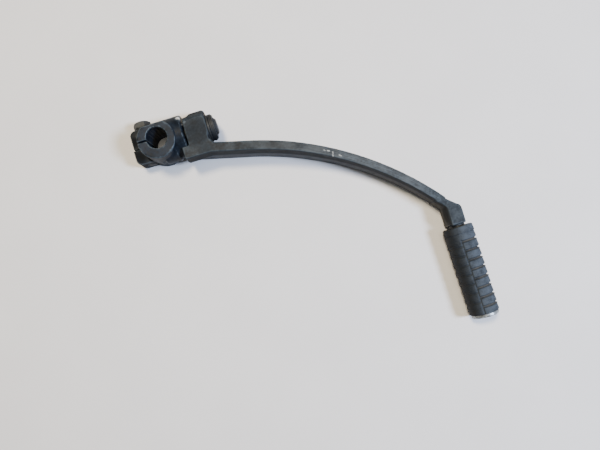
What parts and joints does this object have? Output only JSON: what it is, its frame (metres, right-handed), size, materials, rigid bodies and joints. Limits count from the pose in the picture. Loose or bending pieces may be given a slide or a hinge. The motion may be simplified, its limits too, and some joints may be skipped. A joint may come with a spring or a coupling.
{
  "type": "folding kick start lever",
  "caption": "Folding kick start lever: splined clamp hub with slit and pinch bolt, cross pivot with spring washers, curved flat arm and ribbed rubber peg, shown folded.",
  "frame": {"origin": "on the axis of the shaft bore, in the plane that the hub's boss stands on", "axes": "+Z along the bore, away from the surface it lies on; +X along the fold pivot, towards the arm; the foot peg points to -Y when folded"},
  "size_m": [0.1965, 0.1854, 0.0265],
  "materials": {
    "painted_steel": "worn grey-black paint on forged steel",
    "bolt_steel": "dull dark zinc",
    "spring_steel": "oiled spring steel",
    "bronze": "plain bearing bronze",
    "black_rubber": "used moulded rubber, dusty",
    "disc_steel": "worn steel"
  },
  "bodies": {
    "hub": {"clamp_hub": "painted_steel", "pinch_bolt": "bolt_steel", "lock_washer": "spring_steel", "pivot_pin": "bolt_steel", "stop_pin": "bolt_steel", "detent_ball": "bolt_steel", "detent_spring": "spring_steel", "thrust_washer": "spring_steel", "plain_washer": "bolt_steel", "disc_spring_1": "spring_steel", "disc_spring_2": "spring_steel", "disc_spring_3": "spring_steel", "retaining_washer": "bolt_steel", "circlip": "spring_steel"},
    "arm": {"lever_arm": "painted_steel", "pivot_bush": "bronze", "peg_rod": "painted_steel", "pedal_rubber": "black_rubber", "end_disc": "disc_steel", "end_screw": "bolt_steel"}
  },
  "joints": [
    {"name": "arm_fold", "type": "hinge", "parent": "hub", "child": "arm", "pos_m": [0, 0, 0.013], "axis": [-1, 0, 0], "range_deg": [0, 90]}
  ]
}
